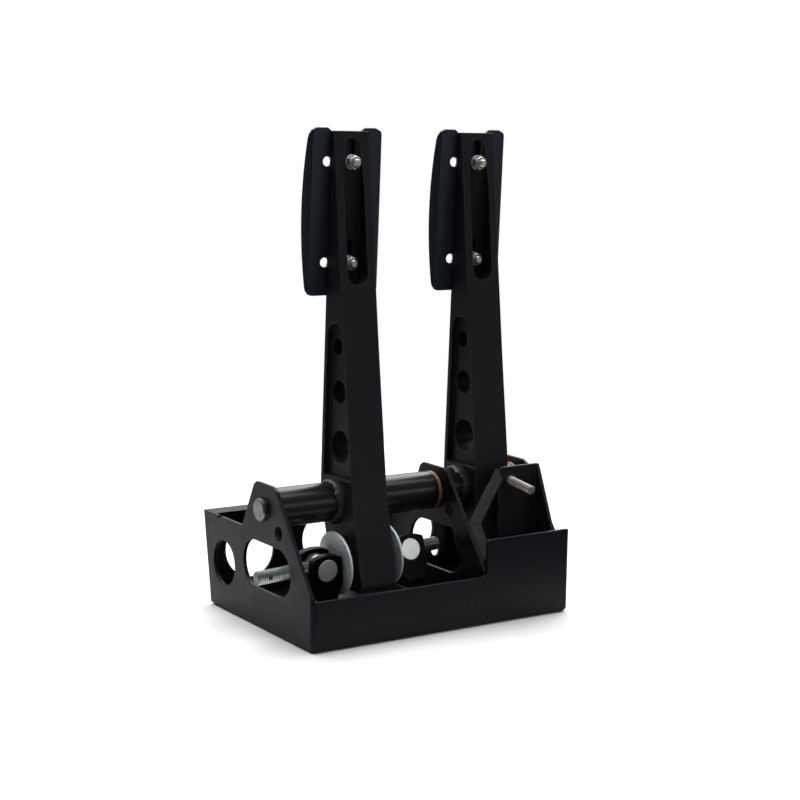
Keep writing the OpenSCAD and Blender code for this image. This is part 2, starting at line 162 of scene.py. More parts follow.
def coat(name, dark, light, rough=(0.36, 0.47), spec=0.14, peel=1.0, edge_wear_highlight=0.4, scuffs=0.5, grit=0.0, edge_wear_highlight_tone=0.11):
    """Satin black powder coat: fine grain and orange peel, dust, rubbed edges that are also lightened as a painted
    highlight, and a few light scuffs.
    """
    m, nt, b = mat_new(name)
    v = obj_coords(nt)
    drift = noise(nt, v, 14, 4, 0.6)
    grain = noise(nt, v, 1500, 2, 0.6)
    orange = noise(nt, v, 520, 2, 0.5)
    base = blend_rgb(nt, span(nt, drift, 0.32, 0.68), dark, light)
    if grit > 0:
        base = blend_rgb(nt, calc(nt, "MULTIPLY", span(nt, grain, 0.50, 0.68), grit), base, tuple(4.0 * c for c in light))
    # fine dust specks
    dust = calc(nt, "MULTIPLY", span(nt, noise(nt, v, 760, 1, 0.4), 0.70, 0.78), span(nt, noise(nt, v, 22, 3), 0.45, 0.65, 0.03, 0.30))
    base = blend_rgb(nt, dust, base, (0.050, 0.050, 0.052))
    # thin handling scuffs in two directions
    s1 = span(nt, noise(nt, stretch(nt, v, (1.0, 9.0, 60.0), (0.5, 0.3, 0.2)), 14, 2, 0.6), 0.665, 0.70)
    s2 = span(nt, noise(nt, stretch(nt, v, (70.0, 6.0, 2.0), (-0.4, 0.6, 0.9)), 9, 2, 0.6), 0.675, 0.71)
    where = span(nt, noise(nt, v, 30, 3, 0.7), 0.52, 0.66)
    scuff = calc(nt, "MULTIPLY", calc(nt, "MAXIMUM", s1, s2), calc(nt, "MULTIPLY", where, scuffs))
    base = blend_rgb(nt, scuff, base, (0.034, 0.034, 0.036))
    # rubbed edges, also lightened as a painted highlight along every sharp edge
    edge = calc(nt, "MULTIPLY", edge_mask(nt, 0.0010), calc(nt, "MULTIPLY", span(nt, noise(nt, v, 150, 4, 0.7), 0.34, 0.66, 0.25, 1.0), edge_wear_highlight))
    base = blend_rgb(nt, edge, base, (edge_wear_highlight_tone, 1.02 * edge_wear_highlight_tone, 1.04 * edge_wear_highlight_tone))
    put(nt, b.inputs["Base Color"], base)
    r = span(nt, noise(nt, v, 60, 5, 0.65), 0.3, 0.7, rough[0], rough[1])
    r = calc(nt, "SUBTRACT", r, calc(nt, "MULTIPLY", edge, 0.10))
    r = calc(nt, "ADD", r, calc(nt, "MULTIPLY", scuff, 0.10))
    put(nt, b.inputs["Roughness"], r)
    b.inputs["Specular IOR Level"].default_value = spec
    n = bump(nt, orange, 0.22 * peel, 0.00012)
    n = bump(nt, grain, 0.20 * peel, 0.00006, n)
    put(nt, b.inputs["Normal"], n)
    return m


def metal(name, dark, light, rough=(0.24, 0.40), grain=(1.0, 1.0, 1.0), grain_scale=900, lines=0.12, marks=0.5, metallic=0.85):
    """Bare or plated metal with a drawn grain, small stains and fine marks."""
    m, nt, b = mat_new(name)
    v = obj_coords(nt)
    drift = noise(nt, v, 120, 4, 0.6)
    drawn = noise(nt, stretch(nt, v, grain), grain_scale, 3, 0.6)
    base = blend_rgb(nt, span(nt, drift, 0.3, 0.7), dark, light)
    stain = calc(nt, "MULTIPLY", span(nt, noise(nt, v, 420, 4, 0.75), 0.58, 0.74), marks)
    base = blend_rgb(nt, stain, base, tuple(0.55 * c for c in dark))
    put(nt, b.inputs["Base Color"], base)
    b.inputs["Metallic"].default_value = metallic
    r = span(nt, drawn, 0.3, 0.7, rough[0], rough[1])
    put(nt, b.inputs["Roughness"], calc(nt, "ADD", r, calc(nt, "MULTIPLY", stain, 0.15)))
    put(nt, b.inputs["Normal"], bump(nt, drawn, lines, 0.00006))
    return m


def turned(name, dark, light, centre, axis, pitch=0.00045, rough=(0.22, 0.36), depth=0.25, metallic=1.0, marks=0.2):
    """Lathe-turned metal: fine concentric tool marks about an axis."""
    m, nt, b = mat_new(name)
    v = obj_coords(nt)
    rad = from_axis(nt, v, centre, axis)
    wob = calc(nt, "MULTIPLY", noise(nt, v, 700, 3, 0.6), 0.00035)
    ring = calc(nt, "SINE", calc(nt, "MULTIPLY", calc(nt, "ADD", rad, wob), 2 * math.pi / pitch))
    ring01 = span(nt, ring, -1, 1)
    drift = noise(nt, v, 260, 4, 0.65)
    base = blend_rgb(nt, span(nt, drift, 0.3, 0.7), dark, light)
    base = blend_rgb(nt, calc(nt, "MULTIPLY", ring01, 0.35), base, tuple(0.6 * c for c in dark))
    stain = calc(nt, "MULTIPLY", span(nt, noise(nt, v, 520, 4, 0.7), 0.60, 0.74), marks)
    base = blend_rgb(nt, stain, base, tuple(0.45 * c for c in dark))
    put(nt, b.inputs["Base Color"], base)
    b.inputs["Metallic"].default_value = metallic
    put(nt, b.inputs["Roughness"], span(nt, noise(nt, v, 340, 3), 0.3, 0.7, rough[0], rough[1]))
    put(nt, b.inputs["Normal"], bump(nt, ring01, depth, 0.00005))
    return m


def threaded(name, dark, light, centre, axis, root, crest, rough=(0.26, 0.42), metallic=0.9, root_shade_tone=0.14):
    """Plated thread: crests in the plating colour, roots duller and darkened as painted shade in the grooves."""
    m, nt, b = mat_new(name)
    v = obj_coords(nt)
    rad = from_axis(nt, v, centre, axis)
    deep = span(nt, rad, root, crest)
    drift = noise(nt, v, 300, 4, 0.6)
    top = blend_rgb(nt, span(nt, drift, 0.3, 0.7), dark, light)
    # painted shade: the thread roots are darkened to a fraction of the dark plating colour
    base = blend_rgb(nt, deep, tuple(root_shade_tone * c for c in dark), top)
    put(nt, b.inputs["Base Color"], base)
    b.inputs["Metallic"].default_value = metallic
    r = span(nt, noise(nt, v, 1100, 3), 0.3, 0.7, rough[0], rough[1])
    put(nt, b.inputs["Roughness"], calc(nt, "ADD", r, span(nt, deep, 0.0, 1.0, 0.14, 0.0)))
    put(nt, b.inputs["Normal"], bump(nt, noise(nt, v, 1800, 2), 0.12, 0.00004))
    return m


def nylon(name):
    """Natural nylon: cool milky white with faint turning marks, a little light passes into it."""
    m, nt, b = mat_new(name)
    v = obj_coords(nt)
    cloud = noise(nt, v, 55, 4, 0.55)
    base = blend_rgb(nt, span(nt, cloud, 0.3, 0.7), (0.74, 0.82, 0.83), (0.84, 0.90, 0.90))
    grime = calc(nt, "MULTIPLY", span(nt, noise(nt, v, 210, 5, 0.7), 0.58, 0.76), 0.35)
    base = blend_rgb(nt, grime, base, (0.36, 0.40, 0.40))
    put(nt, b.inputs["Base Color"], base)
    put(nt, b.inputs["Roughness"], span(nt, noise(nt, v, 180, 4), 0.3, 0.7, 0.34, 0.52))
    b.inputs["Subsurface Weight"].default_value = 0.35
    b.inputs["Subsurface Radius"].default_value = (0.0022, 0.0026, 0.0027)
    b.inputs["Subsurface Scale"].default_value = 1.0
    b.inputs["Specular IOR Level"].default_value = 0.45
    put(nt, b.inputs["Normal"], bump(nt, noise(nt, stretch(nt, v, (0.2, 1, 1)), 900, 3), 0.10, 0.00006))
    return m


def weld_coat(name, dark, light, spec=0.36):
    """The coat over a weld or a torch-cut face: mottled grey where it is thin, glossier on the ripples."""
    m, nt, b = mat_new(name)
    v = obj_coords(nt)
    base = blend_rgb(nt, span(nt, noise(nt, v, 260, 5, 0.65), 0.34, 0.66), dark, light)
    base = blend_rgb(nt, calc(nt, "MULTIPLY", span(nt, noise(nt, v, 900, 3, 0.6), 0.52, 0.70), 0.45), base, tuple(1.9 * c for c in light))
    put(nt, b.inputs["Base Color"], base)
    put(nt, b.inputs["Roughness"], span(nt, noise(nt, v, 380, 4, 0.7), 0.3, 0.7, 0.34, 0.54))
    b.inputs["Specular IOR Level"].default_value = spec
    put(nt, b.inputs["Normal"], bump(nt, noise(nt, v, 700, 3, 0.6), 0.4, 0.00012))
    return m


BAR_O = T(80, 62, 50.5)
BAR_U = Vector((math.cos(math.radians(3.0)), 0, math.sin(math.radians(3.0))))
STOP_O = T(209.5, 40, 104.3)
STOP_U = Vector((0, -math.sin(math.radians(97)), math.cos(math.radians(97))))
PIVOT = T(120, 77, 95.3)

M_TRAY = coat("coat_tray", (0.0022, 0.0033, 0.0058), (0.0038, 0.0050, 0.0078))
M_PLATE = coat("coat_plate", (0.0034, 0.0036, 0.0040), (0.0056, 0.0058, 0.0062), edge_wear_highlight=1.3, edge_wear_highlight_tone=0.20)
# the arm coat is partly the arms' own warmer tint and partly painted light: its base is lightened to stand in for
# light on the arm fronts
M_ARM = coat("coat_arm", (0.0168, 0.0146, 0.0190), (0.0228, 0.0204, 0.0256), rough=(0.36, 0.46), spec=0.08, edge_wear_highlight=1.6, edge_wear_highlight_tone=0.24)
M_TUBE = coat("coat_tube", (0.0060, 0.0058, 0.0062), (0.0098, 0.0095, 0.0100), rough=(0.25, 0.32), spec=0.30, peel=1.2, grit=0.22)
# painted light: the pad coat is the same black coat lightened many times over, to stand in for light missing on the
# pads' faces
M_PAD_LIT = coat("coat_pad", (0.0256, 0.0336, 0.0470), (0.0320, 0.0410, 0.0556), rough=(0.26, 0.29), spec=0.50, peel=0.05, edge_wear_highlight=0.6, scuffs=0.3)
M_YOKE = coat("coat_yoke", (0.0022, 0.0024, 0.0028), (0.0040, 0.0041, 0.0045), rough=(0.24, 0.33), spec=0.045, peel=0.3, edge_wear_highlight=0.8)
M_BRACKET = coat("coat_bracket", (0.0088, 0.0094, 0.0124), (0.0144, 0.0150, 0.0186), spec=0.18, edge_wear_highlight=1.8, scuffs=0.9, edge_wear_highlight_tone=0.28)
M_WELD = weld_coat("coat_weld", (0.007, 0.0075, 0.0075), (0.026, 0.028, 0.027), 0.45)
M_BRACE = weld_coat("coat_brace", (0.010, 0.0115, 0.0110), (0.031, 0.034, 0.032), 0.25)
M_STEEL = metal("steel_stainless", (0.76, 0.73, 0.70), (0.90, 0.88, 0.85), rough=(0.26, 0.38), marks=0.20, metallic=0.76)
M_ZINC = metal("zinc_plate", (0.50, 0.52, 0.50), (0.66, 0.68, 0.66))
M_SHAFT = turned("steel_shaft", (0.165, 0.165, 0.157), (0.270, 0.267, 0.253), PIVOT, (1, 0, 0), 0.0006, (0.34, 0.48))
M_BRONZE = turned("bronze_bush", (0.55, 0.31, 0.18), (0.70, 0.43, 0.27), PIVOT, (1, 0, 0), 0.0005, (0.34, 0.50), metallic=0.6)
M_BARREL = {}
for side, dx, turn in (("left", -38.5, 3.0), ("right", 38.5, -14.0)):
    pin = Matrix.Rotation(math.radians(turn), 3, BAR_U) @ Vector((0, 1, 0))
    M_BARREL[side] = turned("steel_barrel_" + side, (0.84, 0.84, 0.83), (0.94, 0.94, 0.93), BAR_O + BAR_U * dx * MM, pin, 0.0005, (0.28, 0.38), metallic=0.66)
M_BALL = metal("steel_ball", (0.45, 0.45, 0.44), (0.60, 0.60, 0.59), rough=(0.16, 0.26))
M_NYLON = nylon("nylon_disc")
# painted shade: the lock nut inserts are coloured near black to stand for the shade in the recess between the collar
# and the bolt
M_INSERT_SHADE = coat("insert_painted_shade", (0.010, 0.010, 0.011), (0.020, 0.020, 0.021), spec=0.4, edge_wear_highlight=0.1)
M_BAR = threaded("zinc_bar", (0.78, 0.83, 0.79), (0.92, 0.96, 0.93), BAR_O, BAR_U, 0.0048, 0.0055, rough=(0.20, 0.34), metallic=0.88)
M_STUD = threaded("steel_stud", (0.84, 0.75, 0.69), (0.96, 0.89, 0.84), STOP_O, STOP_U, 0.0030, 0.0035, metallic=0.52, root_shade_tone=0.24)


# ---------------------------------------------------------------- mesh helpers
def add_piece(name, mesh, mat, body, replaces=()):
    ob = bpy.data.objects.new(name, mesh)
    bpy.context.scene.collection.objects.link(ob)
    ob.data.materials.clear()
    ob.data.materials.append(mat)
    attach(ob, body)
    if replaces:
        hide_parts(*replaces)
    return ob


def finish_mesh(name, verts, faces, sharp=32.0):
    me = bpy.data.meshes.new(name)
    me.from_pydata([tuple(v) for v in verts], [], faces)
    me.update()
    bm = bmesh.new()
    bm.from_mesh(me)
    bmesh.ops.recalc_face_normals(bm, faces=bm.faces)
    bm.to_mesh(me)
    bm.free()
    me.polygons.foreach_set("use_smooth", [True] * len(me.polygons))
    me.set_sharp_from_angle(angle=math.radians(sharp))
    me.validate()
    return me


class Builder:
    """Collects several closed shapes into one mesh."""

    def __init__(self):
        self.v, self.f = [], []

    def loops(self, loops, close=False):
        """Joins rings of equal length. Open ends are closed with a fan, or the last ring joins the first."""
        n = len(loops[0])
        base = len(self.v)
        for ring in loops:
            self.v.extend(ring)
        k = len(loops)
        for i in range(k if close else k - 1):
            a, b = base + i * n, base + ((i + 1) % k) * n
            for j in range(n):
                q = (j + 1) % n
                self.f.append((a + j, a + q, b + q, b + j))
        if not close:
            for ring, first in ((loops[0], base), (loops[-1], base + (k - 1) * n)):
                c = Vector((0, 0, 0))
                for p in ring:
                    c += Vector(p)
                self.v.append(c / n)
                for j in range(n):
                    self.f.append((first + j, first + (j + 1) % n, len(self.v) - 1))

    def mesh(self, name, sharp=32.0):
        return finish_mesh(name, self.v, self.f, sharp)


def frame_of(origin, axis, up=Vector((0, 0, 1))):
    """A function from (radius, angle, distance along axis), in mm and radians, to a point."""
    a = Vector(axis).normalized()
    u = up - a * up.dot(a)
    u.normalize()
    w = a.cross(u)
    return lambda r, t, s: origin + (u * math.cos(t) * r + w * math.sin(t) * r + a * s) * MM


def hex_r(t, flat):
    """Radius of a hexagon with that half width across flats."""
    k = (t + math.pi / 6) % (math.pi / 3) - math.pi / 6
    return flat / math.cos(k)


def thread_loops(at, r, pitch, depth, s0, s1, n=40, per=8, chamfer=(0.9, 0.9), plain=None):
    """Rings of a helical thread from s0 to s1, chamfered at both ends, plain between the two values of plain."""
    count = int(round((s1 - s0) / pitch * per))
    out = []
    for i in range(count + 1):
        s = s0 + (s1 - s0) * i / count
        ring = []
        for j in range(n):
            t = 2 * math.pi * j / n
            ph = (s / pitch - j / n) % 1.0
            cut = max(0.0, min(1.0, (abs(ph - 0.5) * 2 - 0.10) / 0.78))
            rr = r - depth * cut
            if plain and plain[0] < s < plain[1]:
                rr = r
            rr = min(rr, r - chamfer[0] + (s - s0) if s - s0 < chamfer[0] else rr, r - chamfer[1] + (s1 - s) if s1 - s < chamfer[1] else rr)
            ring.append(at(rr, t, s))
        out.append(ring)
    return out


def cut_mesh(mesh, cutter):
    """The mesh with the cutter's closed shape taken away."""
    a = bpy.data.objects.new("cut_a", mesh)
    c = bpy.data.objects.new("cut_b", cutter)
    for o in (a, c):
        bpy.context.scene.collection.objects.link(o)
    mod = a.modifiers.new("cut", "BOOLEAN")
    mod.operation, mod.solver, mod.object = "DIFFERENCE", "EXACT", c
    bpy.context.view_layer.update()
    got = bpy.data.meshes.new_from_object(a.evaluated_get(bpy.context.evaluated_depsgraph_get()))
    bpy.data.objects.remove(a)
    bpy.data.objects.remove(c)
    return got


def plain_copy(node):
    """A welded copy of a CAD node's mesh."""
    me = NODES[node].data.copy()
    bm = bmesh.new()
    bm.from_mesh(me)
    bmesh.ops.remove_doubles(bm, verts=bm.verts, dist=1e-6)
    bm.to_mesh(me)
    bm.free()
    for name in ("custom_normal", "sharp_edge", "sharp_face"):
        if name in me.attributes:
            me.attributes.remove(me.attributes[name])
    me.materials.clear()
    return me


def join_solids(meshes, op):
    """One closed mesh: the first of several closed meshes, joined with or cut by the others."""
    objs = []
    for me in meshes:
        o = bpy.data.objects.new("u_" + me.name, me)
        bpy.context.scene.collection.objects.link(o)
        objs.append(o)
    for o in objs[1:]:
        mod = objs[0].modifiers.new("u", "BOOLEAN")
        mod.operation, mod.solver, mod.object = op, "MANIFOLD", o
    bpy.context.view_layer.update()
    got = bpy.data.meshes.new_from_object(objs[0].evaluated_get(bpy.context.evaluated_depsgraph_get()))
    for o in objs:
        bpy.data.objects.remove(o)
    return got


def inside(p, poly):
    hit = False
    for i in range(len(poly)):
        (x1, y1), (x2, y2) = poly[i], poly[i - 1]
        if (y1 > p[1]) != (y2 > p[1]) and p[0] < (x2 - x1) * (p[1] - y1) / (y2 - y1) + x1:
            hit = not hit
    return hit


def rounded(points, radii, steps=6):
    """The outline with each corner rounded."""
    out = []
    k = len(points)
    for i in range(k):
        p, a, b = Vector(points[i]), Vector(points[i - 1]), Vector(points[(i + 1) % k])
        r = radii[i]
        if r <= 0:
            out.append(tuple(p))
            continue
        u, w = (a - p).normalized(), (b - p).normalized()
        half = math.acos(max(-1, min(1, u.dot(w)))) / 2
        cut = min(r / math.tan(half), 0.48 * (a - p).length, 0.48 * (b - p).length)
        r = cut * math.tan(half)
        c = p + (u + w).normalized() * (r / math.sin(half))
        s, e = p + u * cut - c, p + w * cut - c
        turn = s.angle_signed(e)
        for j in range(steps + 1):
            q = -turn * j / steps
            out.append((c.x + s.x * math.cos(q) - s.y * math.sin(q), c.y + s.x * math.sin(q) + s.y * math.cos(q)))
    return out


def ring_2d(x, y, r, n=48):
    return [(x + r * math.cos(2 * math.pi * j / n), y + r * math.sin(2 * math.pi * j / n)) for j in range(n)]


def slot_2d(x0, x1, y, r, n=24):
    right = [(x1 + r * math.sin(math.pi * j / n), y - r * math.cos(math.pi * j / n)) for j in range(n + 1)]
    left = [(x0 - r * math.sin(math.pi * j / n), y + r * math.cos(math.pi * j / n)) for j in range(n + 1)]
    return right + left


def sheet_mesh(name, outline, holes, place, h0, h1, creases=(), merge=0.0):
    """A closed sheet: the outline with holes, between the heights h0 and h1 of place(u, v, h)."""
    pts, edges = [], []
    for poly in [outline] + list(holes):
        b0 = len(pts)
        pts += [Vector(p) for p in poly]
        edges += [(b0 + j, b0 + (j + 1) % len(poly)) for j in range(len(poly))]
    for a, b in creases:
        edges.append((len(pts), len(pts) + 1))
        pts += [Vector(a), Vector(b)]
    v2, _, f2, *_rest = delaunay_2d_cdt(pts, edges, [], 0, 1e-5)
    keep = []
    for f in f2:
        c = (sum(v2[i][0] for i in f) / len(f), sum(v2[i][1] for i in f) / len(f))
        if inside(c, outline) and not any(inside(c, h) for h in holes):
            keep.append(tuple(f))
    used = sorted({i for f in keep for i in f})
    idx = {u: k for k, u in enumerate(used)}
    verts = [place(v2[u][0], v2[u][1], h0) for u in used] + [place(v2[u][0], v2[u][1], h1) for u in used]
    m = len(used)
    faces, count = [], {}
    for f in keep:
        g = [idx[i] for i in f]
        faces.append(tuple(g))
        faces.append(tuple(i + m for i in reversed(g)))
        for j in range(len(g)):
            count[(g[j], g[(j + 1) % len(g)])] = 1
    for a, b in list(count):
        if (b, a) not in count:
            faces.append((b, a, a + m, b + m))
    me = bpy.data.meshes.new(name)
    me.from_pydata([tuple(v) for v in verts], [], faces)
    bm = bmesh.new()
    bm.from_mesh(me)
    if merge > 0:
        bmesh.ops.remove_doubles(bm, verts=bm.verts, dist=merge * MM)
        bmesh.ops.dissolve_degenerate(bm, dist=0.02 * MM, edges=bm.edges)
    bmesh.ops.recalc_face_normals(bm, faces=bm.faces)
    bm.to_mesh(me)
    bm.free()
    me.polygons.foreach_set("use_smooth", [True] * len(me.polygons))
    return me


def anticlockwise(poly):
    area = sum(poly[i - 1][0] * poly[i][1] - poly[i][0] * poly[i - 1][1] for i in range(len(poly)))
    return list(poly) if area > 0 else list(reversed(poly))


def inset(poly, d):
    """The anticlockwise outline moved inwards by d, or outwards where d is negative."""
    out = []
    for i in range(len(poly)):
        p, a, b = Vector(poly[i]), Vector(poly[i - 1]), Vector(poly[(i + 1) % len(poly)])
        u, w = (p - a).normalized(), (b - p).normalized()
        n, m = Vector((-u.y, u.x)), Vector((-w.y, w.x))
        out.append(tuple(p + (n + m) * (d / max(0.3, 1.0 + n.dot(m)))))
    return out


def rim_sheet(name, outline, holes, place, h0, h1, e=0.45):
    """A closed sheet between the heights h0 and h1 of place(u, v, h), with every edge rounded by e."""
    polys = [(anticlockwise(outline), 1.0)] + [(anticlockwise(h), -1.0) for h in holes]
    k = 1.0 - math.sqrt(0.5)
    levels = [(e, h0), (k * e, h0 + k * e), (0.0, h0 + e), (0.0, h1 - e), (k * e, h1 - k * e), (e, h1)]
    caps = [inset(q, sgn * e) for q, sgn in polys]
    pts, edges = [], []
    for poly in caps:
        b0 = len(pts)
        pts += [Vector(q) for q in poly]
        edges += [(b0 + j, b0 + (j + 1) % len(poly)) for j in range(len(poly))]
    v2, _, f2, origin, *_rest = delaunay_2d_cdt(pts, edges, [], 0, 1e-6)
    verts, faces = [], []
    for ins, h in levels:
        for q, sgn in polys:
            verts += [place(u, v, h) for u, v in (inset(q, sgn * ins) if ins else q)]
    m = len(pts)
    for f in f2:
        c = (sum(v2[i][0] for i in f) / len(f), sum(v2[i][1] for i in f) / len(f))
        if inside(c, caps[0]) and not any(inside(c, h) for h in caps[1:]):
            g = [origin[i][0] for i in f]
            faces.append(tuple(reversed(g)))
            faces.append(tuple(i + 5 * m for i in g))
    b0 = 0
    for q, sgn in polys:
        for j in range(len(q)):
            a, b = b0 + j, b0 + (j + 1) % len(q)
            for t in range(5):
                faces.append((a + t * m, b + t * m, b + (t + 1) * m, a + (t + 1) * m))
        b0 += len(q)
    me = bpy.data.meshes.new(name)
    me.from_pydata([tuple(v) for v in verts], [], faces)
    bm = bmesh.new()
    bm.from_mesh(me)
    bmesh.ops.recalc_face_normals(bm, faces=bm.faces)
    bm.to_mesh(me)
    bm.free()
    return me


def soften(ob, width, segments=2, angle=28.0, weld=True):
    """Small rounded edges on every sharp corner."""
    if weld:
        w = ob.modifiers.new("weld", "WELD")
        w.merge_threshold = 1e-6
    d = ob.modifiers.new("flat", "DECIMATE")
    d.decimate_type = "DISSOLVE"
    d.angle_limit = math.radians(0.4)
    b = ob.modifiers.new("edges", "BEVEL")
    b.width = width * MM
    b.segments = segments
    b.limit_method = "ANGLE"
    b.angle_limit = math.radians(angle)
    b.use_clamp_overlap = False
    b.loop_slide = False
    n = ob.modifiers.new("normals", "WEIGHTED_NORMAL")
    n.weight = 60
    n.keep_sharp = False


# ---------------------------------------------------------------- tray, as one folded sheet
CROWN = [(111, 76), (92, 112.5), (88, 115.5), (62.5, 115.5), (56, 112.5)]
CROWN_R = [5.0, 4.0, 4.0, 4.0, 6.0]
notch = [(150 + 2.5 * math.cos(math.pi * j / 10), 76 - 2.5 * math.sin(math.pi * j / 10)) for j in range(11)]
left_out = rounded([(0, 0), (165, 0), (165, 3), (177.5, 76)] + notch + CROWN + [(2, 42), (0, 39)],
                   [0, 0, 0, 0] + [0] * len(notch) + CROWN_R + [2.0, 0])
right_out = rounded([(0, 0), (165, 0), (165, 3), (177.5, 76)] + CROWN + [(3, 43.3), (0, 43.3)], [0, 0, 0, 0] + CROWN_R + [0, 0])
side_holes = [ring_2d(77, 95.3, 9.0, 64), ring_2d(141.5, 39, 18.2, 72), slot_2d(51.75, 89.75, 50.2, 18.6, 36), ring_2d(52, 81.2, 5.4)]
front_out = rounded([(0, 0), (240, 0), (240, 68.5), (158.5, 68.5), (158.5, 39), (0, 39)], [0, 0, 3.0, 3.0, 4.0, 0])
floor_holes = [ring_2d(120 + dx, 82.5 + dy, 4.25, 40) for dx in (-100, 100) for dy in (-60, 60)]
shell = join_solids([
    rim_sheet("sh_floor", [(0, 0), (240, 0), (240, 165), (0, 165)], floor_holes, lambda u, v, h: T(u, v, h), 0.0, 3.0),
    rim_sheet("sh_front", front_out, [], lambda u, v, h: T(u, h, v), 0.0, 3.0),
    rim_sheet("sh_left", left_out, side_holes, lambda u, v, h: T(h, u, v), 0.0, 3.0),
    rim_sheet("sh_right", right_out, side_holes, lambda u, v, h: T(237 + h, u, v), 0.0, 3.0),
    plain_copy("rear_wall"),
], "UNION")
# the folds: a block with rounded lower edges and front corners bounds the shell
lo_c, hi_c = T(0, 0, 0), T(240, 230, 140)
bm = bmesh.new()
bmesh.ops.create_cube(bm, size=1.0)
for v in bm.verts:
    v.co = Vector([hi_c[i] if v.co[i] > 0 else lo_c[i] for i in range(3)])


def all_at(e, axis, value):
    return all(abs(v.co[axis] - value) < 1e-5 for v in e.verts)


fold = [e for e in bm.edges if (all_at(e, 2, lo_c.z) and not all_at(e, 1, hi_c.y))
        or (all_at(e, 1, lo_c.y) and (all_at(e, 0, lo_c.x) or all_at(e, 0, hi_c.x)))]
bmesh.ops.bevel(bm, geom=fold, offset=0.0036, offset_type="OFFSET", segments=5, profile=0.5, affect="EDGES", clamp_overlap=True)
bmesh.ops.recalc_face_normals(bm, faces=bm.faces)
block = bpy.data.meshes.new("fold_block")
bm.to_mesh(block)
bm.free()
shell = join_solids([shell, block], "INTERSECT")
at_dot = frame_of(T(200.6, 0, 47.3), Vector((0, 1, 0)))
dot = Builder()
dot.loops([[at_dot(1.3, 2 * math.pi * j / 24, d) for j in range(24)] for d in (-1.0, 2.0)])
shell = join_solids([shell, dot.mesh("blind_hole")], "DIFFERENCE")
shell.polygons.foreach_set("use_smooth", [True] * len(shell.polygons))
shell.set_sharp_from_angle(angle=math.radians(50))
tray = add_piece("tray_shell", shell, M_TRAY, "frame",
                 ("tray_floor", "front_wall", "rear_wall", "left_side_plate", "right_side_plate"))
flat = tray.modifiers.new("normals", "WEIGHTED_NORMAL")
flat.weight = 60
flat.keep_sharp = True


# ---------------------------------------------------------------- carried-over CAD nodes
CARRIED = {
    "middle_plate": (M_PLATE, 0.5), "stop_bracket": (M_BRACKET, 0.6), "stop_brace": (M_BRACE, 0.6),
    "stop_nut": (M_ZINC, 0.25), "pivot_shaft": (M_SHAFT, 0.25),
    "brake_arm": (M_ARM, 0.7), "clutch_arm": (M_ARM, 0.7), "brake_pivot_tube": (M_TUBE, 0.5), "clutch_pivot_tube": (M_TUBE, 0.5),
    "bearing_sleeve": (M_TUBE, 0.6), "brake_left_bush": (M_BRONZE, 0.4), "brake_right_bush": (M_BRONZE, 0.4),
    "clutch_left_bush": (M_BRONZE, 0.4), "clutch_right_bush": (M_BRONZE, 0.4),
    "bearing_ball": (M_BALL, 0.3), "left_spacer_disc": (M_NYLON, 0.45), "right_spacer_disc": (M_NYLON, 0.45),
    "left_barrel": (M_BARREL["left"], 0.2), "right_barrel": (M_BARREL["right"], 0.2),
    "left_clevis": (M_YOKE, 0.6), "right_clevis": (M_YOKE, 0.6),
    "brake_pad_washers": (M_STEEL, 0.2), "clutch_pad_washers": (M_STEEL, 0.2),
}
for node, (mat, width) in CARRIED.items():
    ob = NODES[node]
    ob.data.materials.clear()
    ob.data.materials.append(mat)
    soften(ob, width)


# ---------------------------------------------------------------- balance bar
at_bar = frame_of(BAR_O, BAR_U)
bld = Builder()
bld.loops(thread_loops(at_bar, 5.5, 1.5, 0.82, -94.0, 72.0, n=44, chamfer=(1.0, 1.0), plain=(-24.0, 24.0)))
cross = Builder()
at_hole = frame_of(BAR_O + BAR_U * -84.0 * MM, Vector((0, 1, 0)))
cross.loops([[at_hole(r, 2 * math.pi * j / 32, s) for j in range(32)] for r, s in ((1.9, -9.0), (1.9, 9.0))])
bar_mesh = cut_mesh(bld.mesh("balance_bar_thread"), cross.mesh("cross_hole"))
bar_mesh.polygons.foreach_set("use_smooth", [True] * len(bar_mesh.polygons))
bar_mesh.set_sharp_from_angle(angle=math.radians(40))
add_piece("balance_bar_threaded", bar_mesh, M_BAR, "bar", ("balance_bar",))

# ---------------------------------------------------------------- clutch stop screw
at_stop = frame_of(STOP_O, STOP_U)
rings = thread_loops(at_stop, 3.5, 1.0, 0.52, -7.6, 28.0, n=40, chamfer=(0.6, 0.6))
bld = Builder()
bld.loops(rings)
add_piece("clutch_stop_threaded", bld.mesh("clutch_stop_thread", 38), M_STUD, "clutch_stop", ("clutch_stop_screw",))


# ---------------------------------------------------------------- pads, bolts and nuts
LEAN = math.radians(2.35)


def on_back(x):
    """Pad frame in mm: x across, y towards the driver, z up the arm's rear face."""
    def f(lx, ly, lz):
        return T(x + lx, 90.18 + ly * math.cos(LEAN) - lz * math.sin(LEAN), 320 + ly * math.sin(LEAN) + lz * math.cos(LEAN))
    return f


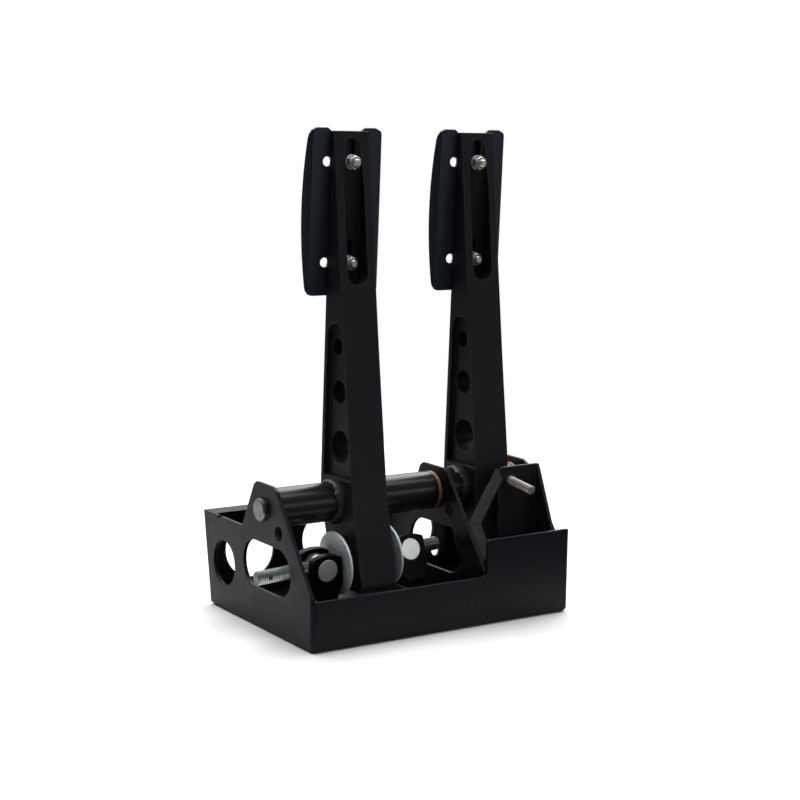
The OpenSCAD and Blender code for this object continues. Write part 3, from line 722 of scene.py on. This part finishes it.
def pad_mesh(name, x):
    place = on_back(x)
    thick, half_w, wing, turn, up = 3.0, 31.75, 7.0, math.radians(55), 1.0
    off = 1.25
    bend = 3.4
    flat = half_w - bend * math.tan(turn / 2)
    arc = bend * turn
    reach = flat + arc + wing - bend * math.tan(turn / 2)
    hh = 65.0
    # half outline from the dip in the top edge, clockwise down the right side
    top_side = [(26.5, hh), (flat + arc * 0.5, hh - 2.4), (reach - 4.6, hh - 5.4)]
    low_side = [(reach - 4.6, 4.2 - hh), (flat + arc * 0.5, 1.3 - hh), (27.5, -hh)]
    edge = []
    big = (hh * hh + 25.0) / 10.0
    for k in range(21):
        z = (hh - 8.5) - (2 * hh - 15.5) * k / 20.0
        edge.append((reach - (big - math.sqrt(big * big - z * z)), z))
    right = [(11.0, hh - 4.5), (16.6, hh)] + top_side + edge + low_side
    radii = [3.0, 3.0, 3.0, 5.0, 3.0] + [0] * len(edge) + [3.0, 5.0, 3.0]
    outline = rounded(right + [(-px, pz) for px, pz in reversed(right)], radii + radii[::-1])
    holes = []
    for z in (-38.0, 40.0):
        for hx, hr in ((0, 3.2), (-18, 3.75), (18, 3.75)):
            holes.append(ring_2d(hx + off, z - up, hr, 36))
    creases = []
    for sgn in (-1, 1):
        for k in range(9):
            s = sgn * (flat + arc * k / 8.0)
            creases.append(((s, -90), (s, 90)))

    def bent(s, d, h):
        a = abs(s)
        if a <= flat:
            lx, ly = a, d
        else:
            ang = min((a - flat) / bend, turn)
            t = max(0.0, a - flat - arc)
            lx = flat + (bend - d) * math.sin(ang) + t * math.cos(turn)
            ly = bend - (bend - d) * math.cos(ang) + t * math.sin(turn)
        return place(math.copysign(lx, s) - off, ly + 0.04, h + up)

    return sheet_mesh(name, outline, holes, lambda u, v, h: bent(u, h, v), 0.0, thick, creases, merge=0.3)


def bolt_rings(place, z, b):
    """A button head bolt with a hexagon socket; s runs along the pad's y."""
    n = 48
    at = lambda r, t, s: place(r * math.cos(t), s, z + r * math.sin(t))
    ang = [2 * math.pi * j / n for j in range(n)]
    rings = thread_loops(at, 3.0, 1.0, 0.5, -15.46, 0.2, n=n, chamfer=(0.8, 0.0), plain=(-4.5, 1.0))
    head = [(3.0, 3.0), (4.9, 3.04), (5.2, 3.2), (5.25, 3.5)]
    for k in range(9):
        q = math.radians(8 + 56 * k / 8.0)
        head.append((1.35 + 3.95 * math.cos(q), 3.5 + 2.9 * (math.sin(q) - math.sin(math.radians(8))) + 0.12))
    top = head[-1][1]
    head.append((head[-1][0] - 0.25, top + 0.06))
    head.append((2.55, top + 0.08))
    rings += [[at(r, t, s) for t in ang] for r, s in head]
    rings.append([at(hex_r(t, 2.0) + 0.12, t, top + 0.08) for t in ang])
    rings.append([at(hex_r(t, 2.0), t, top - 0.10) for t in ang])
    rings.append([at(hex_r(t, 2.0), t, top - 2.0) for t in ang])
    rings.append([at(0.5, t, top - 2.5) for t in ang])
    b.loops(rings)


def nut_rings(place, z, b):
    """A lock nut: chamfered hexagon with a rolled collar."""
    n = 48
    at = lambda r, t, s: place(r * math.cos(t), s, z + r * math.sin(t))
    ang = [2 * math.pi * j / n for j in range(n)]
    s0, s1 = -6.75, -11.35
    rings = [[at(4.6, t, s0) for t in ang]]
    for cone, s in ((5.05, s0), (5.35, s0 - 0.17), (5.62, s0 - 0.33), (6.0, s0 - 0.55), (6.0, s1 + 0.62), (5.62, s1 + 0.36), (5.35, s1 + 0.2), (5.0, s1)):
        rings.append([at(min(hex_r(t, 5.0), cone), t, s) for t in ang])
    for r, s in ((4.80, s1 - 0.02), (4.74, s1 - 0.25), (4.72, s1 - 0.95), (4.60, s1 - 1.30), (4.36, s1 - 1.52), (4.10, s1 - 1.58), (4.00, s1 - 1.50), (3.98, s1 - 0.2), (3.05, s1 - 0.1), (3.02, s0 - 0.3), (3.4, s0)):
        rings.append([at(r, t, s) for t in ang])
    b.loops(rings, close=True)


def insert_rings(place, z, b):
    n = 40
    at = lambda r, t, s: place(r * math.cos(t), s, z + r * math.sin(t))
    ang = [2 * math.pi * j / n for j in range(n)]
    s1 = -11.35
    b.loops([[at(r, t, s) for t in ang] for r, s in ((3.96, s1 - 0.25), (3.96, s1 - 0.62), (3.80, s1 - 0.72), (3.25, s1 - 0.72), (3.06, s1 - 0.62), (3.06, s1 - 0.25))], close=True)


for pedal, x in (("brake", 80.0), ("clutch", 198.7)):
    body = pedal + "_pad_plate"
    place = on_back(x)
    pad = add_piece(pedal + "_pad_bent", pad_mesh(pedal + "_pad_sheet", x), M_PAD_LIT, body, (pedal + "_pad",))
    soften(pad, 0.55, weld=False, angle=40)
    bolts, nuts, inserts = Builder(), Builder(), Builder()
    for z in (-38.0, 40.0):
        bolt_rings(place, z, bolts)
        nut_rings(place, z, nuts)
        insert_rings(place, z, inserts)
    add_piece(pedal + "_button_bolts", bolts.mesh(pedal + "_bolts", 36), M_STEEL, body, (pedal + "_pad_bolts",))
    add_piece(pedal + "_lock_nuts", nuts.mesh(pedal + "_nuts", 30), M_STEEL, body, (pedal + "_pad_nuts",))
    add_piece(pedal + "_lock_nut_inserts", inserts.mesh(pedal + "_inserts", 40), M_INSERT_SHADE, body)


# ---------------------------------------------------------------- weld beads
def bead(points, normals, radius, pitch, closed, seed, wide=1.0, tall=1.0, rough=0.05, ripple=0.2):
    """A rippled weld bead along a path: overlapping rounded scales."""
    n = 16
    rings = []
    total = 0.0
    for i, p in enumerate(points):
        a = points[i - 1] if (closed or i > 0) else points[i]
        b = points[(i + 1) % len(points)] if (closed or i < len(points) - 1) else points[i]
        along = (b - a).normalized()
        u = (normals[i] - along * normals[i].dot(along)).normalized()
        w = along.cross(u)
        if i:
            total += (p - points[i - 1]).length / MM
        turn = 2 * math.pi * i / len(points)
        ph = (total / pitch) % 1.0
        crest = math.sqrt(max(0.0, 1.0 - (2 * ph - 0.9) ** 2)) if ph < 0.95 else 0.1
        deep = ripple * (0.55 + 0.45 * math.sin(2 * turn + 3.1 * seed))
        scale = 1.0 - deep + deep * crest
        scale *= 1.0 + rough * math.sin(3 * turn + seed) + 0.7 * rough * math.sin(7 * turn + 2.3 * seed) + 0.5 * rough * math.sin(17 * turn + 4.1 * seed)
        end = 1.0
        if not closed:
            d = min(i, len(points) - 1 - i) / max(1.0, 0.06 * len(points))
            end = min(1.0, 0.35 + 0.65 * math.sqrt(min(1.0, d)))
        r = radius * scale * end
        lump = 1.0 + rough * math.sin(5 * turn + 1.7 * seed)
        rings.append([p + (u * math.cos(2 * math.pi * k / n) * r * tall + w * math.sin(2 * math.pi * k / n) * r * wide * lump) * MM for k in range(n)])
    b = Builder()
    b.loops(rings, close=closed)
    return b


def ring_bead(name, x, out, radius, centre, r, body, seed):
    """Bead round a tube where it meets the side of an arm; out is the side it stands on."""
    steps = 368
    pts, nor = [], []
    for i in range(steps):
        t = 2 * math.pi * i / steps
        d = Vector((0, math.cos(t), math.sin(t)))
        pts.append(T(x + out * 0.6, centre[0], centre[1]) + d * (radius + 0.3) * MM)
        nor.append(d)
    add_piece(name, bead(pts, nor, r, 2 * math.pi * radius / 46.0, True, seed, 1.75, 0.62, 0.08, 0.13).mesh(name, 60), M_WELD, body)


def line_bead(name, a, b, normal, r, body, seed, pitch=2.4):
    k = max(12, int((b - a).length / MM / 0.45))
    pts = [a + (b - a) * (i / k) for i in range(k + 1)]
    add_piece(name, bead(pts, [normal] * (k + 1), r, pitch, False, seed).mesh(name, 60), M_WELD, body)


ring_bead("weld_brake_left", 64.0, -1, 15.5, (77, 95.3), 3.8, "brake_pedal", 0.3)
ring_bead("weld_brake_right", 96.0, 1, 15.5, (77, 95.3), 3.8, "brake_pedal", 1.1)
ring_bead("weld_clutch_left", 182.7, -1, 15.5, (77, 95.3), 3.8, "clutch_pedal", 2.2)
ring_bead("weld_clutch_right", 214.7, 1, 15.5, (77, 95.3), 3.8, "clutch_pedal", 3.4)
Z = Vector((0, 0, 1))
line_bead("weld_mid_floor_left", T(157, 12, 3), T(157, 152, 3), Vector((-1, 0, 1)), 1.9, "frame", 0.7)
line_bead("weld_mid_floor_right", T(160, 12, 3), T(160, 152, 3), Vector((1, 0, 1)), 1.9, "frame", 1.9)
line_bead("weld_mid_front", T(157, 3, 8), T(157, 3, 36), Vector((-1, 1, 0)), 1.8, "frame", 2.6)


# ---------------------------------------------------------------- stage, light, camera
def floor_material():
    m, nt, b = mat_new("studio_floor")
    v = obj_coords(nt)
    put(nt, b.inputs["Base Color"], blend_rgb(nt, noise(nt, v, 1.5, 3), (0.86, 0.86, 0.86), (0.88, 0.88, 0.88)))
    b.inputs["Roughness"].default_value = 0.9
    b.inputs["Specular IOR Level"].default_value = 0.1
    return m


me = bpy.data.meshes.new("studio_floor")
me.from_pydata([(0.02 + 0.50 * math.cos(2 * math.pi * j / 96), 0.32 + 0.50 * math.sin(2 * math.pi * j / 96), -0.0003) for j in range(96)], [], [tuple(range(96))])
floor = bpy.data.objects.new("studio_floor", me)
bpy.context.scene.collection.objects.link(floor)
floor.data.materials.append(floor_material())

world = bpy.data.worlds.new("studio")
world.use_nodes = True
bpy.context.scene.world = world
nt = world.node_tree
nt.nodes.clear()
wout = nt.nodes.new("ShaderNodeOutputWorld")
gen = nt.nodes.new("ShaderNodeTexCoord").outputs["Generated"]
# a dim room with a grey wall behind and a window high in front
front = vcalc(nt, "DOT_PRODUCT", gen, (0.546, -0.838, 0.0), "Value")
rear = vcalc(nt, "DOT_PRODUCT", gen, (0.546, 0.838, 0.0), "Value")
upw = vcalc(nt, "DOT_PRODUCT", gen, (0.0, 0.0, 1.0), "Value")
lum = calc(nt, "ADD", span(nt, front, 0.70, 0.90, 0.0, 0.06), span(nt, rear, 0.35, 0.95, 0.05, 0.60))
window = calc(nt, "MULTIPLY", calc(nt, "MULTIPLY", span(nt, upw, 0.12, 0.20), span(nt, upw, 0.29, 0.37, 1.0, 0.0)), span(nt, front, 0.55, 0.75, 0.0, 2.0))
lum = calc(nt, "ADD", lum, calc(nt, "ADD", window, span(nt, upw, 0.45, 0.85, 0.0, 0.18)))
room = nt.nodes.new("ShaderNodeBackground")
nt.links.new(lum, room.inputs["Strength"])
room.inputs["Color"].default_value = (0.97, 0.985, 1.0, 1.0)
sky = nt.nodes.new("ShaderNodeBackground")
sky.inputs["Color"].default_value = (1.0, 1.0, 1.0, 1.0)
sky.inputs["Strength"].default_value = 1.0
lp = nt.nodes.new("ShaderNodeLightPath")
mixw = nt.nodes.new("ShaderNodeMixShader")
nt.links.new(lp.outputs["Is Camera Ray"], mixw.inputs[0])
nt.links.new(room.outputs[0], mixw.inputs[1])
nt.links.new(sky.outputs[0], mixw.inputs[2])
nt.links.new(mixw.outputs[0], wout.inputs["Surface"])


sun = bpy.data.lights.new("overhead", "SUN")
sun.energy = 4.7
sun.angle = math.radians(85)
so = bpy.data.objects.new("overhead", sun)
bpy.context.scene.collection.objects.link(so)
so.rotation_euler = (math.radians(-22), math.radians(14), 0)

key = bpy.data.lights.new("key", "SUN")
key.energy = 0.35
key.angle = math.radians(30)
ko = bpy.data.objects.new("key", key)
bpy.context.scene.collection.objects.link(ko)
ko.rotation_euler = Vector((0.54, 0.478, 0.693)).to_track_quat("Z", "Y").to_euler()

cam = bpy.data.cameras.new("camera")
cam.sensor_width = 36.0
cam.lens = 78.19
cam.clip_start, cam.clip_end = 0.05, 60.0
co = bpy.data.objects.new("camera", cam)
bpy.context.scene.collection.objects.link(co)
az, el, roll = math.radians(-33.08673), math.radians(8.69991), math.radians(0.84824)
back = Vector((math.sin(az) * math.cos(el), -math.cos(az) * math.cos(el), math.sin(el)))
right = Vector((math.cos(az), math.sin(az), 0))
up = back.cross(right)
right2 = right * math.cos(roll) + up * math.sin(roll)
up2 = up * math.cos(roll) - right * math.sin(roll)
pos = T(-625.513, -1073.898, 381.576)
co.matrix_world = Matrix(((right2.x, up2.x, back.x, pos.x), (right2.y, up2.y, back.y, pos.y), (right2.z, up2.z, back.z, pos.z), (0, 0, 0, 1)))
bpy.context.scene.camera = co
bpy.context.scene.view_settings.view_transform = "Standard"
